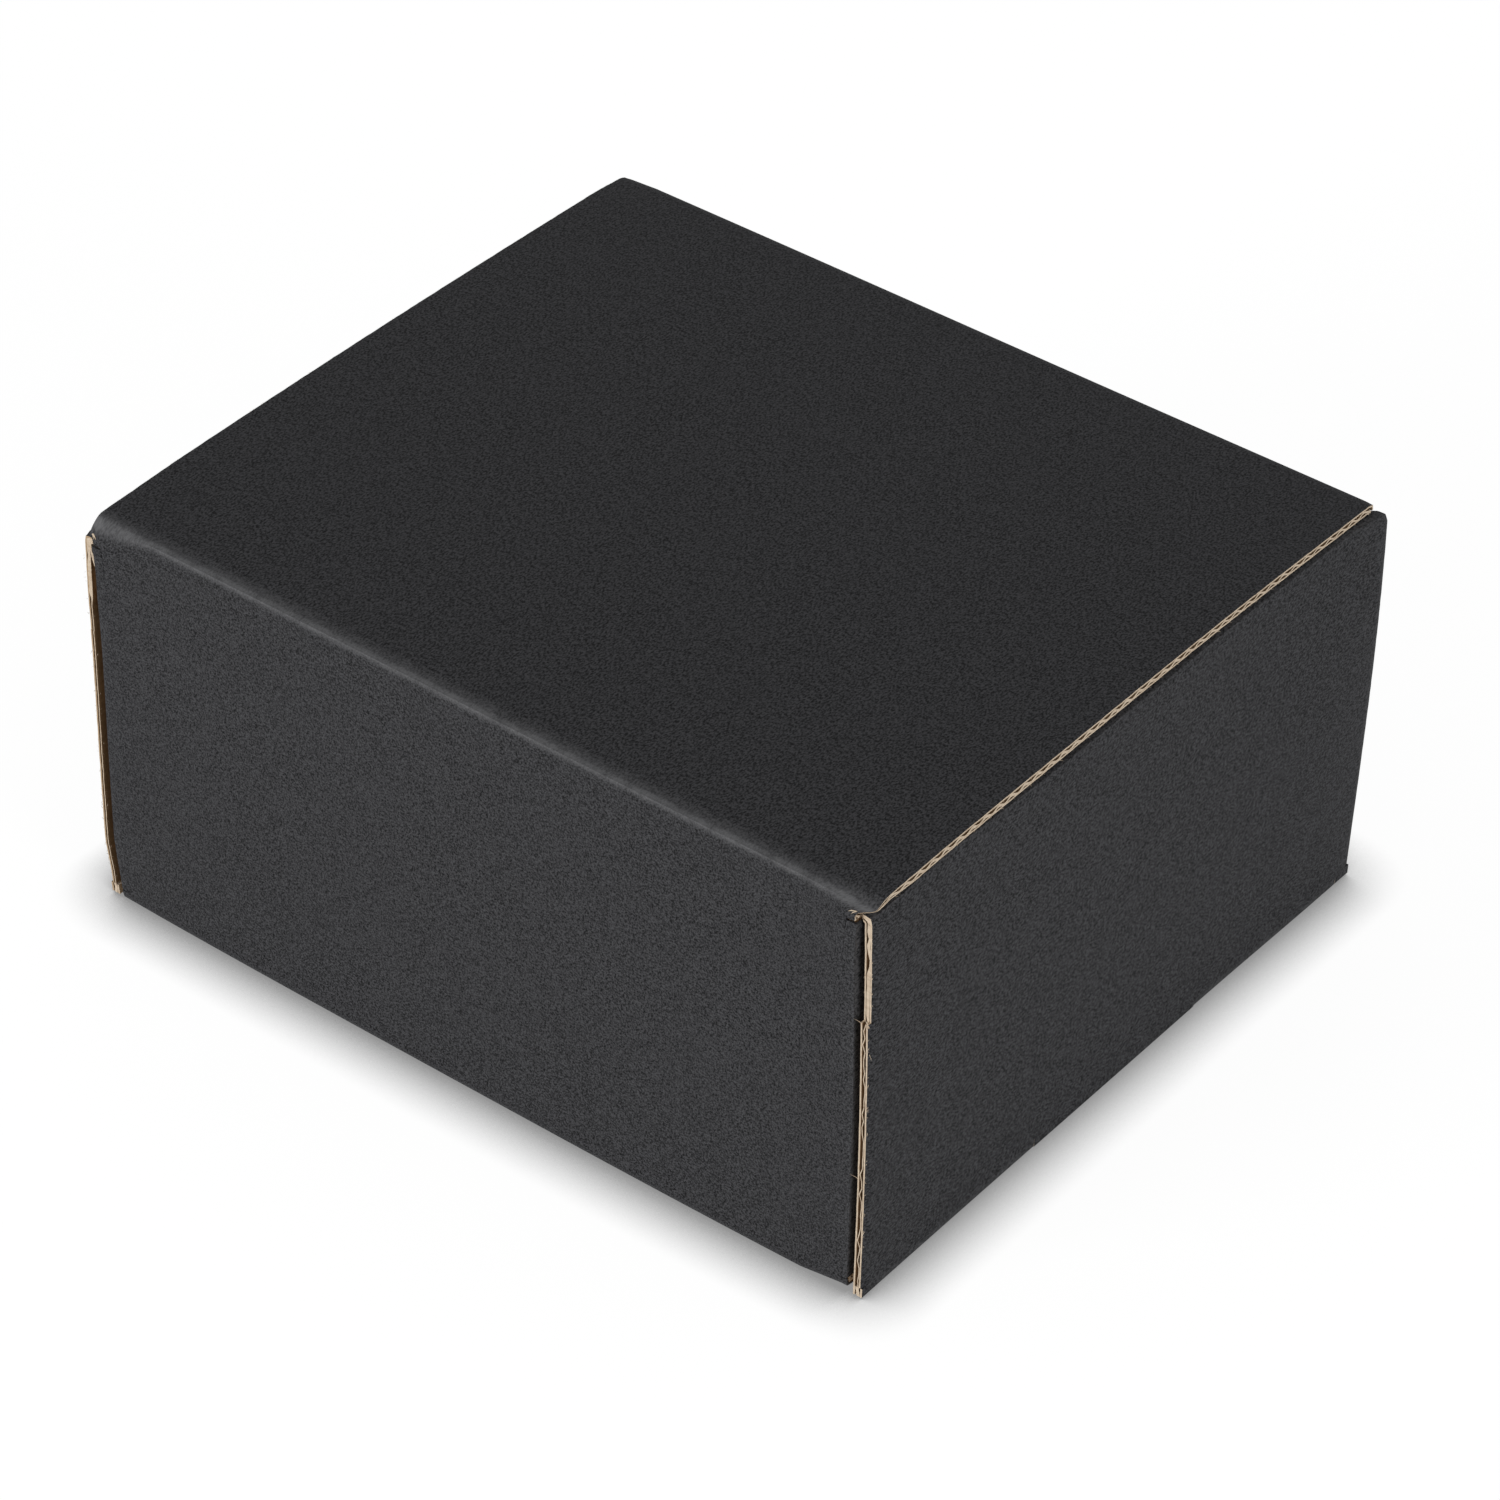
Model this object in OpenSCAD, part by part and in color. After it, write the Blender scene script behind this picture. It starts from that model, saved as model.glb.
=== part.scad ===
// Gift box for two drink cans, folded from one die-cut sheet of corrugated board
// that is black outside and plain brown inside. It is shown closed.
// The base, the hinge wall, the front wall and the two rolled-over side walls are the
// tray. The lid hangs on the hinge wall by a crease and ends in a tuck flap.
// Frame: X runs along the lid's crease, -Y is the hinge wall, +Y is the front wall and
// Z is up. The origin is the middle of the face that the box stands on.

/* [Box] */
// Outer length, along the lid's crease
box_length = 151; // [120:1:240]
// Outer depth, from the hinge wall to the front wall
box_depth = 131; // [110:1:220]
// Outer height of the closed box
box_height = 73; // [50:1:130]

/* [Board] */
// Thickness of the corrugated board
board = 1.6; // [1.3:0.1:2.2]
// Thickness of the paper liner on each face
liner = 0.25; // [0.2:0.05:0.3]
// Thickness of the wavy paper between the liners
medium = 0.2; // [0.15:0.05:0.25]
// Distance from one flute to the next
flute_pitch = 3.2; // [2.8:0.1:4]
// Inner radius of a crease
crease_radius = 0.3; // [0.2:0.1:0.6]
// Gap between two layers that lie against each other
layer_gap = 0.3; // [0.2:0.1:0.6]

/* [Side walls] */
// Distance of the side walls' raw upright edges from the box's front and hinge faces
side_edge_inset = 0.3; // [0:0.1:1.5]
// How much further the upper part of the edge beside the hinge wall is set back
edge_step = 0.8; // [0.4:0.1:2]
// Height of that step above the base
edge_step_height = 53.5; // [20:0.5:60]
// Gap between an inner side wall's raw edges and the front and hinge walls
inner_end_gap = 0.8; // [0.4:0.1:3]

/* [Lock slots] */
// Length of the slot in each side crease, where the inner wall's tab locks
slot_length = 43; // [20:1:80]
// Gap round the lock tab in its slot
slot_gap = 0.5; // [0.3:0.1:1.5]
// Height of the tab's end above the face that the box stands on
tab_recess = 0.3; // [0.1:0.1:1]

/* [Ears] */
// Reach of each ear, from the box's front or hinge face
ear_length = 42; // [20:1:52]
// Cut-off at the ears' free corners
ear_corner = 7; // [3:1:12]

/* [Front wall] */
// Gap between the front wall's raw top edge and the lid
front_wall_gap = 1.8; // [0.4:0.1:4]

/* [Lid] */
// Distance of the lid's raw side edges from the side faces
lid_side_inset = 1.5; // [0.5:0.1:3]
// Gap between the lid and the rolled-over tops that it lies on
lid_gap = 0.2; // [0.2:0.1:0.6]
// Slit between the lid's half and the wall's half of the hinge crease
hinge_gap = 0.2; // [0.1:0.05:0.3]
// Gap between the tuck flap's crease and the front wall
tuck_gap = 0.3; // [0.3:0.1:1]
// Depth of the tuck flap, from the lid's top face
tuck_depth = 20; // [14:1:30]
// Gap between the tuck flap's ends and the inner side walls
tuck_end_gap = 0.7; // [0.4:0.1:3]
// Cut-off at the tuck flap's free corners
tuck_corner = 6; // [3:1:10]
// Room between the flap's tip and the front wall as the lid swings
swing_gap = 0.4; // [0.4:0.1:1.5]

/* [Hidden] */
$fn = 32;
black_paper = [0.16, 0.165, 0.175];
cut = 1;

// Outer radius of a crease
fold = board + crease_radius;
half_length = box_length / 2;
half_depth = box_depth / 2;

// Layers of a side wall, from the outer face inwards: outer wall, ear, inner wall
spine_width = 3 * board + 2 * layer_gap;
ear_face = half_length - board - layer_gap;
inner_face = half_length - spine_width;

// Heights
seat_top = box_height - board - lid_gap;
spine_bend = seat_top - fold;
ear_bottom = board + layer_gap;
ear_top = seat_top - board - layer_gap;
inner_bottom = board + layer_gap;
front_top = box_height - board - front_wall_gap;

// Half widths of what stands between the side walls
wall_half = ear_face - fold;
hinge_half = ear_face - layer_gap;
side_half = half_depth - side_edge_inset;
upper_half = side_half - edge_step;
inner_half = half_depth - board - inner_end_gap;
slot_half = slot_length / 2;
tab_half = slot_half - slot_gap;
slot_inner = inner_face - slot_gap;

// Lid and tuck flap. The lid turns about the sharp outer corner of its crease.
lid_half = half_length - lid_side_inset;
lid_front = half_depth - board - tuck_gap;
tuck_half = inner_face - tuck_end_gap;
bend_y = lid_front - fold;
bend_z = box_height - fold;
front_reach = norm([box_depth - board, box_height - front_top]);
tip_reach = sqrt(pow(front_reach - swing_gap, 2) - pow(tuck_depth, 2));
tuck_lean = atan2(lid_front + half_depth - tip_reach, tuck_depth - fold);
tuck_length = (tuck_depth - fold - fold * sin(tuck_lean)) / cos(tuck_lean);

// Flutes: each opening has a flat side on a liner and a curved side on the medium
flute_swing = (board - 2 * liner - medium) / 2;
flute_ends = 160;
flute_crest = [-90, -45, 0, 45, 90];
// Length at each end of a panel where the creases have crushed the flutes
crushed = flute_pitch * 0.75;

function flute_side(angle) = [angle / 360 * flute_pitch, flute_swing * (1 + cos(angle))];

// Outline of one flute's opening, centred along the board, with its flat side at y = 0
function flute_outline() = concat(
    [[-flute_ends / 360 * flute_pitch, 0]],
    [for (angle = flute_crest) flute_side(angle)],
    [[flute_ends / 360 * flute_pitch, 0]]
);

// The flutes' openings in a board section that runs along +X from 0, with its
// thickness along Y from 0 to the board's thickness
module flute_openings(length) {
    room = length - 2 * crushed;
    count = floor(room / flute_pitch);
    start = (length - count * flute_pitch) / 2;
    for (i = [0 : count - 1]) {
        translate([start + (i + 0.25) * flute_pitch, liner])
            polygon(flute_outline());
        translate([start + (i + 0.75) * flute_pitch, board - liner])
            mirror([0, 1])
                polygon(flute_outline());
    }
}

// A board edge that is cut along its flutes opens one flute: half of that opening lies
// in the board that runs along +X from 0
module edge_flute() {
    translate([0, liner])
        polygon(flute_outline());
}

// Quarter of a crease's section round the origin, in the first quadrant
module crease_quarter() {
    intersection() {
        difference() {
            circle(fold);
            circle(crease_radius);
        }
        square(fold);
    }
}

// A section drawn in (Y, Z) and run along X, or drawn in (X, Z) and run along Y
module along_x(length) {
    rotate([90, 0, 90])
        linear_extrude(length, center = true)
            children();
}
module along_y(length) {
    rotate([90, 0, 0])
        linear_extrude(length, center = true)
            children();
}

module both_sides() {
    children();
    mirror([1, 0, 0])
        children();
}
module both_ends() {
    children();
    mirror([0, 1, 0])
        children();
}

// Base with the creases up to the hinge wall and the front wall
module base() {
    translate([-(half_length - fold), -(half_depth - fold), 0])
        cube([2 * (half_length - fold), 2 * (half_depth - fold), board]);
    both_ends()
        along_x(2 * wall_half)
            translate([-half_depth + fold, fold])
                rotate(180)
                    crease_quarter();
}

// Hinge wall with the lower half of the lid's crease
module hinge_wall() {
    slit = hinge_gap / sqrt(2);
    along_x(2 * wall_half)
        translate([-half_depth, fold])
            square([board, bend_z - fold]);
    along_x(2 * hinge_half)
        translate([-half_depth + fold, bend_z])
            intersection() {
                rotate(90)
                    crease_quarter();
                polygon([[-slit, 0], [-2 * fold, 0], [-2 * fold, 2 * fold - slit]]);
            }
}

// Front wall, whose raw top edge is cut along the flutes
module front_wall() {
    difference() {
        along_x(2 * wall_half)
            translate([half_depth - board, fold])
                square([board, front_top - fold]);
        translate([0, half_depth, front_top])
            rotate([0, 90, 0])
                linear_extrude(2 * wall_half + cut, center = true)
                    translate([0, -board])
                        edge_flute();
    }
}

// Ear on the hinge wall's right end, between the two layers of the side wall
module ear() {
    ear_height = ear_top - ear_bottom;
    translate([wall_half, -half_depth + fold, ear_bottom])
        rotate([0, 0, 270])
            linear_extrude(ear_height)
                crease_quarter();
    translate([ear_face - board, -half_depth + fold, ear_bottom])
        rotate([90, 0, 90])
            linear_extrude(board)
                polygon([
                    [0, 0],
                    [ear_length - fold - ear_corner, 0],
                    [ear_length - fold, ear_corner],
                    [ear_length - fold, ear_height - ear_corner],
                    [ear_length - fold - ear_corner, ear_height],
                    [0, ear_height]
                ]);
}

// Opening of the flute along a stretch of a raw upright edge beside the hinge wall
module upright_edge_flute(half, from, to) {
    translate([half_length - board, -half, from])
        linear_extrude(to - from)
            rotate(90)
                mirror([0, 1])
                    edge_flute();
}

// Openings along an outer wall's raw upright edges: only the one beside the hinge
// wall has a step
module outer_edge_flutes() {
    upright_edge_flute(side_half, fold, edge_step_height);
    upright_edge_flute(upper_half, edge_step_height, spine_bend);
    mirror([0, 1, 0])
        upright_edge_flute(side_half, fold, spine_bend);
}

// Outer side wall with the crease at its foot and the first crease of the roll-over.
// Between the slot's ends there is no crease: the wall runs straight down as a lip.
module outer_wall() {
    difference() {
        union() {
            along_y(2 * side_half) {
                translate([half_length - board, fold])
                    square([board, edge_step_height - fold]);
                translate([half_length - fold, fold])
                    rotate(270)
                        crease_quarter();
            }
            translate([0, edge_step / 2, 0])
                along_y(side_half + upper_half) {
                    translate([half_length - board, edge_step_height])
                        square([board, spine_bend - edge_step_height]);
                    translate([half_length - fold, spine_bend])
                        crease_quarter();
                }
            translate([half_length - board, -slot_half, 0])
                cube([board, slot_length, fold]);
        }
        outer_edge_flutes();
        translate([half_length, -slot_half, -cut])
            rotate(90)
                linear_extrude(spine_bend + cut)
                    flute_openings(slot_length);
    }
}

// Lock slot in the base and its side crease
module lock_slot() {
    translate([slot_inner, -slot_half, -cut])
        cube([half_length - board - slot_inner, slot_length, cut + fold]);
}

// Narrow top of the roll-over and the inner side wall that hangs from it
module inner_wall() {
    along_y(2 * inner_half) {
        translate([inner_face + fold, seat_top - board])
            square([spine_width - 2 * fold, board]);
        translate([inner_face + fold, spine_bend])
            rotate(90)
                crease_quarter();
    }
    difference() {
        union() {
            translate([inner_face, -inner_half, inner_bottom])
                cube([board, 2 * inner_half, spine_bend - inner_bottom]);
            translate([inner_face, -tab_half, tab_recess])
                cube([board, 2 * tab_half, inner_bottom - tab_recess]);
        }
        both_ends()
            translate([inner_face, -inner_half, inner_bottom - cut])
                linear_extrude(spine_bend - inner_bottom + cut)
                    rotate(90)
                        mirror([0, 1])
                            edge_flute();
        translate([inner_face + board, -tab_half, tab_recess - cut])
            rotate(90)
                linear_extrude(spine_bend - tab_recess + cut)
                    flute_openings(2 * tab_half);
    }
}

module tray() {
    color(black_paper)
        union() {
            difference() {
                union() {
                    base();
                    both_sides()
                        outer_wall();
                }
                both_sides()
                    lock_slot();
            }
            hinge_wall();
            front_wall();
            both_sides() {
                both_ends()
                    ear();
                inner_wall();
            }
        }
}

// Lid's flat panel: its raw side edges are cut across the flutes
module lid_panel() {
    panel_depth = bend_y + half_depth - fold;
    along_x(2 * lid_half)
        translate([-half_depth + fold, box_height - board])
            difference() {
                square([panel_depth, board]);
                flute_openings(panel_depth);
            }
    both_sides()
        translate([tuck_half + tuck_end_gap, bend_y, box_height - board])
            cube([lid_half - tuck_half - tuck_end_gap, board, board]);
}

// Upper half of the hinge crease
module lid_hinge_crease() {
    slit = hinge_gap / sqrt(2);
    along_x(2 * lid_half)
        translate([-half_depth + fold, bend_z])
            intersection() {
                rotate(90)
                    crease_quarter();
                polygon([[0, slit], [0, 2 * fold], [-2 * fold + slit, 2 * fold]]);
            }
}

// Tuck flap, which leans in so that it clears the front wall as the lid swings
module tuck_flap() {
    difference() {
        along_x(2 * tuck_half)
            translate([bend_y, bend_z]) {
                crease_quarter();
                rotate(-tuck_lean)
                    intersection() {
                        crease_quarter();
                        polygon([[0, 0], [2 * fold, 0], 2 * fold * [cos(tuck_lean), sin(tuck_lean)]]);
                    }
                rotate(-tuck_lean)
                    translate([fold, -tuck_length])
                        rotate(90)
                            difference() {
                                square([tuck_length, board]);
                                flute_openings(tuck_length);
                                edge_flute();
                            }
            }
        both_sides()
            translate([tuck_half, bend_y, bend_z])
                rotate([-90 - tuck_lean, 0, 0])
                    tuck_corner_cut();
    }
}

// Wedge off a free corner of the flap, drawn with Y down the flap and Z along its thickness
module tuck_corner_cut() {
    translate([0, 0, -fold])
        linear_extrude(4 * fold)
            polygon([
                [-tuck_corner, tuck_length],
                [0, tuck_length - tuck_corner],
                [cut, tuck_length - tuck_corner],
                [cut, tuck_length + cut],
                [-tuck_corner, tuck_length + cut]
            ]);
}

module lid() {
    color(black_paper)
        union() {
            lid_panel();
            lid_hinge_crease();
            tuck_flap();
        }
}

tray();
lid();
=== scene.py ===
import math
import random

import bmesh
import bpy
import numpy as np
from mathutils import Matrix, Vector


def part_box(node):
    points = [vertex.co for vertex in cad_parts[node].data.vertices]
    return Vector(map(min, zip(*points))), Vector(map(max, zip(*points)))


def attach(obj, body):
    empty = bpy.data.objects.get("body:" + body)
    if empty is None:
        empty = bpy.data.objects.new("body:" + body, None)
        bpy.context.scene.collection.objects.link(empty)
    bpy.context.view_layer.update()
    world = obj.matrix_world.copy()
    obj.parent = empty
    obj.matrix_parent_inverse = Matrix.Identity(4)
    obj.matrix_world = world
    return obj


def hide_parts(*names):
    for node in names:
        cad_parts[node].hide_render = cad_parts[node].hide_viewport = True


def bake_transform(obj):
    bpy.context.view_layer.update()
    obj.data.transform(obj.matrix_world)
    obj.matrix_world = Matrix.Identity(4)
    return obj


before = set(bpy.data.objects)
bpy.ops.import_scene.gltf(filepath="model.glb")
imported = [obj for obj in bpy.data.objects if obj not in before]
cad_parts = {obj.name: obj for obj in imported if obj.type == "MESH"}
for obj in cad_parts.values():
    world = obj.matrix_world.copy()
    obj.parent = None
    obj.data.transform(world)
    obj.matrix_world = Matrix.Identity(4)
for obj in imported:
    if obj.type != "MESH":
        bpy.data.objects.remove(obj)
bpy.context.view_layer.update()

# The looks of a black gift box for two drink cans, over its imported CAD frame.
# Every length below is in millimetres, and is turned into metres as a mesh is made.
MM = 0.001
tray_low, tray_high = [np.array(corner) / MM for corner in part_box("tray")]
lid_low, lid_high = [np.array(corner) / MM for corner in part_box("lid")]

# Board: two flat liners and the wavy paper between them, which is the medium
BOARD = 1.6
LINER = 0.34
MEDIUM = 0.24
FLUTE_PITCH = 3.2
FLUTE_SWING = (BOARD - 2 * LINER - MEDIUM) / 2
LINER_MIDDLES = (LINER / 2, BOARD - LINER / 2)
CREASE_RADIUS = 0.3
FOLD = BOARD + CREASE_RADIUS
LAYER_GAP = 0.3
QUARTER = math.pi / 2

# How much a cut has thickened the medium's edge, towards the printed and the inner liner
BURR = (0.0, 0.35)
FAR_BURR = (0.0, 0.18)
LOW_BURR = (-0.04, 0.0)
LEFT_BURR = (0.45, 0.8)
RIGHT_BURR = (0.6, -0.1)
BURR_CHANGE = 0.3
FAR_BURR_START, FAR_BURR_END = 65, 90

# Box
HALF_LENGTH = tray_high[0]
HALF_DEPTH = tray_high[1]
HEIGHT = lid_high[2]
LID_HALF = lid_high[0]

# Clearances between the folded layers
EAR_GAP = 0.55
EAR_TOP_GAP = 0.05
SEAT_GAP = 0.2
SIDE_END_GAP = 0.3
INNER_END_GAP = 0.8
SLOT_GAP = 0.5
FRONT_GAP = 1.8
LID_FRONT_GAP = 0.3
TUCK_SIDE_GAP = 0.7
SWING_GAP = 0.4

# Side walls, from the outer face inwards
EAR_FACE = HALF_LENGTH - BOARD - EAR_GAP
SPINE_WIDTH = 3 * BOARD + 2 * LAYER_GAP
SEAT_TOP = HEIGHT - BOARD - SEAT_GAP
SPINE_BEND = SEAT_TOP - FOLD
INNER_BOTTOM = BOARD + LAYER_GAP
SIDE_HALF = HALF_DEPTH - SIDE_END_GAP
EDGE_STEP = 0.8
LEFT_EDGE_STEP = 0.1
FAR_EDGE_STEP = 0.8
ROLL_TAPER = 0.3
TAPER_LENGTH = 1.6
EDGE_STEP_HEIGHT = 52.2
INNER_HALF = HALF_DEPTH - BOARD - INNER_END_GAP
SLOT_HALF = 21.5
TAB_HALF = 21.0
TAB_BOTTOM = 0.3
FOOT_INSET = 3.8
FOOT_CLEAR = 0.2
SLOT_INNER = HALF_LENGTH - SPINE_WIDTH - SLOT_GAP

# Ears, hinge wall and front wall
WALL_HALF = EAR_FACE - FOLD
EAR_LENGTH = 42.0
EAR_CORNER = 7.0
EAR_TOP = SEAT_TOP - BOARD - EAR_TOP_GAP
FRONT_TOP = HEIGHT - BOARD - FRONT_GAP

# Lid and tuck flap
LID_FRONT = HALF_DEPTH - BOARD - LID_FRONT_GAP
TUCK_HALF = HALF_LENGTH - SPINE_WIDTH - TUCK_SIDE_GAP
TUCK_DEPTH = 20.0
FRONT_REACH = math.hypot(2 * HALF_DEPTH - BOARD, HEIGHT - FRONT_TOP) - SWING_GAP
TUCK_LEAN = math.atan2(LID_FRONT + HALF_DEPTH - math.sqrt(FRONT_REACH**2 - TUCK_DEPTH**2),
                       TUCK_DEPTH - FOLD)
TUCK_CORNER = 6.0
TUCK_LENGTH = (TUCK_DEPTH - FOLD - FOLD * math.sin(TUCK_LEAN)) / math.cos(TUCK_LEAN)

# Hinge crease: the strip that bends, from the hinge wall's flat to the lid's flat
STRIP_WALL_END = 70.0
STRIP_LID_END = -HALF_DEPTH + 3.0
BLEND_REACH = 0.9
# Strength of the painted highlight band on the lid's side of the hinge ridge, where the board curves to the
# light
RIDGE_SHEEN = 0.62
# Distance up the strip from the start of its fold, and how far its edge lies in there
STRIP_EDGE_IN = ([0, 0.5, 1.1], [0.9, 0.3, 0.05])
STRIP_FOOT_IN = 1.1

# How the real board is bent out of true, and how its edges are pressed and peeled
LID_BOW = 0.65
LID_RISE = 0.52
FRONT_DROP = 0.35
FRONT_TILT = 0.2
CORNER_DROOP = 1.1
BACK_CORNER_DROOP = 0.35
HINGE_LEAN = 0.2
SIDE_LEAN = 2.15
SIDE_RISE = 0.45
SIDE_TOP_LEAN = 1.2
SIDE_CORNER_DROP = 1.15
LEFT_CORNER_DROP = 2.9
FOOT_BOW = 0.85
FAR_EDGE_BOW = 0.6
FAR_EDGE_OUT = 0.5
EAR_PRESS = 0.5
FOOT_LIFT = 0.9
LEFT_EDGE_OUT = ([0, 5, 10, 27, 50, 60, 71], [-1.2, -0.7, 0.2, 0.55, 0.9, 1.35, 1.45])
RIPPLE = 0.1
EDGE_DIP = 0.05
WALL_EDGE_DIP = 0.35
EDGE_CRUSH = 0.12
SEAM_CRUSH = 0.3
CREASE_CRUSH = 0.68
CRUSH_REACH = 1.5
PEEL = 0.8
PEEL_TOP = 58.5
PEEL_RECESS = 1.6
PEEL_GAP = 0.3

# How square the printed liner's ridge is at each kind of crease, 0 round to 1 square
SHARPNESS = 0.5
EAR_SHARPNESS = 0.95
RIDGE_SHARPNESS = 0.85
TOP_SHARPNESS = 0.45

# How far the print is rubbed off at each crease, 0 not at all to 1 fully. At the hinge crease
# the lighter line is also painted sheen, followed by a painted highlight band
EAR_WEAR = 0.1
TOP_WEAR = 0.15
FOOT_WEAR = 0.2
BASE_WEAR = 0.3
INNER_WEAR = 0.3
HINGE_WEAR_AND_SHEEN = 1.0

# Mesh spacing, and the width of the rubbed, sheen-painted line and of the painted highlight band beside it
FINE = 0.42
EAR_SPACING = 0.62
WALL_SPACING = 0.54
PART_SPACING = 0.5
LINER_SPACING = 6.0
EAR_STATIONS = 2.0
WALL_STATIONS = 1.3
LID_STATIONS = 0.8
STRIP_STATIONS = 0.4
STRIP_FINE_STATIONS = 0.25
COARSE = 2.6
RIM = (0.0, 0.25, 0.6, 1.1, 1.8)
STEP = 0.02
ARC_STEPS = 12
RIDGE_LINE_WIDTH = 0.34
RIDGE_LINE_SHIFT = 0.12
SHEEN_WIDTH = 0.95

# Places of the papers in the list of materials
INK, KRAFT, FLUTE, CUT = 0, 1, 2, 3

# Torn paper: count of fibres at the printed and the inner liner's edge
WALL_FIBRES = (24, 16)
LID_FIBRES = (40, 55)


def smooth(value, start, end):
    """0 before start, 1 after end and a smooth change between them."""
    share = np.clip((np.asarray(value, float) - start) / (end - start), 0, 1)
    return share * share * (3 - 2 * share)


def wander(value, length, seed):
    """Smooth irregular curve between about -1 and 1, with features of that length."""
    dice = random.Random(seed)
    total = 0
    for i in range(4):
        turn = 2 * math.pi * (0.6 + 0.55 * i) / length
        total = total + np.sin(np.asarray(value) * turn + dice.uniform(0, 7)) / (1 + 0.5 * i)
    return total / 2.2


def spread(low, high, spacing, rim=RIM):
    """Positions from low to high that are closer together near both ends."""
    room = high - low - 2 * rim[-1]
    middle = np.linspace(low + rim[-1], high - rim[-1], max(2, round(room / spacing) + 1))
    near = low + np.array(rim[:-1])
    far = high - np.array(rim[:-1])[::-1]
    return np.concatenate([near, middle, far])


def join_spans(*spans):
    """Joins lists of positions that share their end points."""
    return np.concatenate([spans[0]] + [span[1:] for span in spans[1:]])


class Chain:
    """Stations along the outer face of a folded strip: place, outward normal, distance, wear and sheen.

    A step is ("go", length) or ("fold", angle, lightening, sharpness, sheen). Folds turn left for
    side 1 and right for side -1, and the outward normal is on the other side. The printed
    liner stands proud of the round fold, which makes its ridge sharper. The lightening paints a
    lighter line of rubbed print and painted sheen on the ridge; with a sheen above 0 that line
    is followed by a weaker painted highlight band.
    """

    def __init__(self, start, heading, side, steps, spacing):
        place, angle, distance = np.array(start, float), heading, 0.0
        places, normals, distances, bulges = [], [], [], []
        folds = []
        for step in steps:
            if step[0] == "go":
                count = max(1, math.ceil(step[1] / spacing))
                way = np.array([math.cos(angle), math.sin(angle)])
                for i in range(count + 1):
                    places.append(place + way * step[1] * i / count)
                    normals.append(side * np.array([way[1], -way[0]]))
                    distances.append(distance + step[1] * i / count)
                    bulges.append(0.0)
                place = place + way * step[1]
                distance += step[1]
                continue
            way = np.array([math.cos(angle), math.sin(angle)])
            centre = place - side * np.array([way[1], -way[0]]) * FOLD
            length = step[1] * (FOLD - BOARD / 2)
            sharpness = step[3] if len(step) > 3 else SHARPNESS
            sheen = step[4] if len(step) > 4 else 0.0
            folds.append((distance + length / 2, length, step[2], sheen))
            for i in range(ARC_STEPS + 1):
                turned = angle + side * step[1] * i / ARC_STEPS
                normal = side * np.array([math.sin(turned), -math.cos(turned)])
                places.append(centre + normal * FOLD)
                normals.append(normal)
                distances.append(distance + length * i / ARC_STEPS)
                bent = min(i, ARC_STEPS - i) / ARC_STEPS * step[1]
                bulges.append(sharpness * FOLD * (1 / math.cos(bent) - 1))
            angle += side * step[1]
            normal = side * np.array([math.sin(angle), -math.cos(angle)])
            place = centre + normal * FOLD
            distance += length
        kept = [0] + [i for i in range(1, len(distances)) if distances[i] - distances[i - 1] > 1e-6]
        self.places = np.array(places)[kept]
        self.normals = np.array(normals)[kept]
        self.distances = np.array(distances)[kept]
        self.bulges = np.array(bulges)[kept]
        self.length = distance
        self.wear_and_sheen = np.zeros(len(kept))
        self.crushed = np.zeros(len(kept))
        # Lighter line at each fold: rubbed print, which at the hinge ridge also stands in for sheen, and a
        # weaker painted highlight band after it
        for centre, length, wear_and_sheen, sheen in folds:
            away = self.distances - centre - RIDGE_LINE_SHIFT
            line = np.exp(-((away / RIDGE_LINE_WIDTH) ** 2))
            sheen_band = sheen * np.exp(-np.maximum(away, 0) / SHEEN_WIDTH) * smooth(away, -RIDGE_LINE_WIDTH, 0)
            self.wear_and_sheen = np.maximum(self.wear_and_sheen, wear_and_sheen * np.maximum(line, sheen_band))
            self.crushed = np.maximum(self.crushed, 1 - smooth(np.abs(away), length / 2, length / 2 + 2.5))


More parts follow.
